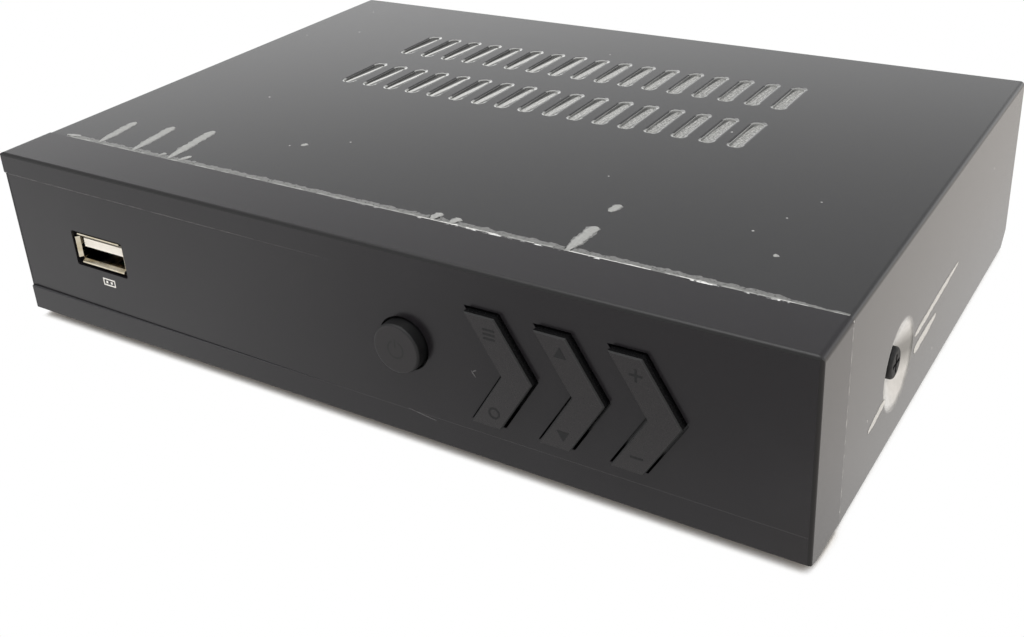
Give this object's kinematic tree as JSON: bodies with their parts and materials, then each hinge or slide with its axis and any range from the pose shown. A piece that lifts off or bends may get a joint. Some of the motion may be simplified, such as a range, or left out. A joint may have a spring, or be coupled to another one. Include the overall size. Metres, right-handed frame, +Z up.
{
  "type": "digital television receiver",
  "caption": "Low set-top television receiver: moulded front with a power key, chevron rocker keys and serial socket, vented steel cover on a pressed chassis, with its boards and rear sockets.",
  "frame": {"origin": "centre of the overall box, on the floor under the feet", "axes": "+Z up, +X to the right across the front, +Y towards the back"},
  "size_m": [0.17, 0.1316, 0.0376],
  "materials": {
    "front_moulding": "fine-textured moulded ABS",
    "key_plastic": "satin moulded ABS",
    "cover_paint": "fine-grain black powder coat on sheet steel",
    "black_screws": "black oxide",
    "zinc_sheet": "zinc-coated sheet steel",
    "screen_mesh": "fine woven zinc-coated wire screen",
    "zinc_screws": "zinc plated",
    "rubber": "moulded rubber",
    "green_laminate": "solder-masked glass laminate",
    "tan_laminate": "phenolic paper laminate",
    "plunger_plastic": "moulded nylon",
    "black_plastic": "moulded thermoplastic",
    "lamp_red": "clear red epoxy",
    "plated_shell": "nickel-plated folded shell",
    "white_plastic": "moulded thermoplastic",
    "gold_contacts": "gold-flashed brass",
    "ribbon_film": "laminated film",
    "nickel": "nickel-plated",
    "tinned_can": "tin-plated steel",
    "heat_sink_alloy": "black anodised",
    "coax_plastic": "moulded thermoplastic",
    "sleeved_can": "shrink sleeve on aluminium can",
    "fuse_glass": "glass tube with plated caps",
    "enamelled_wire": "enamelled copper winding",
    "ferrite": "sintered ferrite",
    "winding_tape": "taped winding",
    "wire_cover": "vinyl wire insulation"
  },
  "bodies": {
    "case": {"front_panel": "front_moulding", "front_board": "green_laminate", "front_board_screws": "zinc_screws", "tact_switches": "black_plastic", "infrared_receiver": "black_plastic", "standby_lamp": "lamp_red", "serial_shell": "plated_shell", "serial_tongue": "white_plastic", "serial_contacts": "gold_contacts", "ribbon_cable": "ribbon_film", "ribbon_connectors": "white_plastic", "top_cover": "cover_paint", "vent_screen": "screen_mesh", "cover_side_screws": "black_screws", "cover_rear_screws": "black_screws", "chassis": "zinc_sheet", "rubber_feet": "rubber", "main_board": "green_laminate", "supply_board": "tan_laminate", "board_standoffs": "zinc_screws", "board_screws": "zinc_screws", "insulating_sheet": "white_plastic", "main_chip": "black_plastic", "heat_sink": "heat_sink_alloy", "memory_chips": "black_plastic", "board_capacitors": "sleeved_can", "tuner_can": "tinned_can", "aerial_in_socket": "nickel", "aerial_in_contact": "gold_contacts", "aerial_out_socket": "nickel", "aerial_out_pin": "gold_contacts", "aerial_insulators": "white_plastic", "video_shell": "plated_shell", "video_tongue": "black_plastic", "av_socket": "black_plastic", "coax_sleeve": "gold_contacts", "coax_body": "coax_plastic", "mains_inlet": "black_plastic", "inlet_pins": "nickel", "mains_fuse": "fuse_glass", "line_filter": "enamelled_wire", "transformer_core": "ferrite", "transformer_winding": "winding_tape", "bulk_capacitor": "sleeved_can", "output_capacitors": "sleeved_can", "harness_headers": "white_plastic", "supply_harness": "wire_cover"},
    "power_button": {"power_button": "key_plastic"},
    "menu_rocker": {"menu_rocker": "key_plastic"},
    "channel_rocker": {"channel_rocker": "key_plastic"},
    "volume_rocker": {"volume_rocker": "key_plastic"},
    "power_plunger": {"power_plunger": "plunger_plastic"},
    "menu_up_plunger": {"menu_up_plunger": "plunger_plastic"},
    "menu_down_plunger": {"menu_down_plunger": "plunger_plastic"},
    "channel_up_plunger": {"channel_up_plunger": "plunger_plastic"},
    "channel_down_plunger": {"channel_down_plunger": "plunger_plastic"},
    "volume_up_plunger": {"volume_up_plunger": "plunger_plastic"},
    "volume_down_plunger": {"volume_down_plunger": "plunger_plastic"}
  },
  "joints": [
    {"name": "power_press", "type": "slide", "parent": "case", "child": "power_button", "axis": [0, 1, 0], "range_m": [0, 0.0003], "stiffness_N_per_m": 1500},
    {"name": "power_switch", "type": "slide", "parent": "case", "child": "power_plunger", "axis": [0, 1, 0], "range_m": [0, 0.0003]},
    {"name": "menu_tilt", "type": "hinge", "parent": "case", "child": "menu_rocker", "pos_m": [0.03685, -0.05663, 0.0204], "axis": [1, 0, 0], "range_deg": [-1.8, 1.8], "stiffness_Nm_per_rad": 0.05},
    {"name": "channel_tilt", "type": "hinge", "parent": "case", "child": "channel_rocker", "pos_m": [0.04961, -0.05663, 0.0204], "axis": [1, 0, 0], "range_deg": [-1.8, 1.8], "stiffness_Nm_per_rad": 0.05},
    {"name": "volume_tilt", "type": "hinge", "parent": "case", "child": "volume_rocker", "pos_m": [0.06237, -0.05663, 0.0204], "axis": [1, 0, 0], "range_deg": [-1.8, 1.8], "stiffness_Nm_per_rad": 0.05},
    {"name": "menu_up_switch", "type": "slide", "parent": "case", "child": "menu_up_plunger", "axis": [0, 1, 0], "range_m": [0, 0.00025], "stiffness_N_per_m": 1500},
    {"name": "menu_down_switch", "type": "slide", "parent": "case", "child": "menu_down_plunger", "axis": [0, 1, 0], "range_m": [0, 0.00025], "stiffness_N_per_m": 1500},
    {"name": "channel_up_switch", "type": "slide", "parent": "case", "child": "channel_up_plunger", "axis": [0, 1, 0], "range_m": [0, 0.00025], "stiffness_N_per_m": 1500},
    {"name": "channel_down_switch", "type": "slide", "parent": "case", "child": "channel_down_plunger", "axis": [0, 1, 0], "range_m": [0, 0.00025], "stiffness_N_per_m": 1500},
    {"name": "volume_up_switch", "type": "slide", "parent": "case", "child": "volume_up_plunger", "axis": [0, 1, 0], "range_m": [0, 0.00025], "stiffness_N_per_m": 1500},
    {"name": "volume_down_switch", "type": "slide", "parent": "case", "child": "volume_down_plunger", "axis": [0, 1, 0], "range_m": [0, 0.00025], "stiffness_N_per_m": 1500}
  ],
  "couplings": [
    {"joint": "power_switch", "follows": "power_press", "ratio": 1}
  ]
}
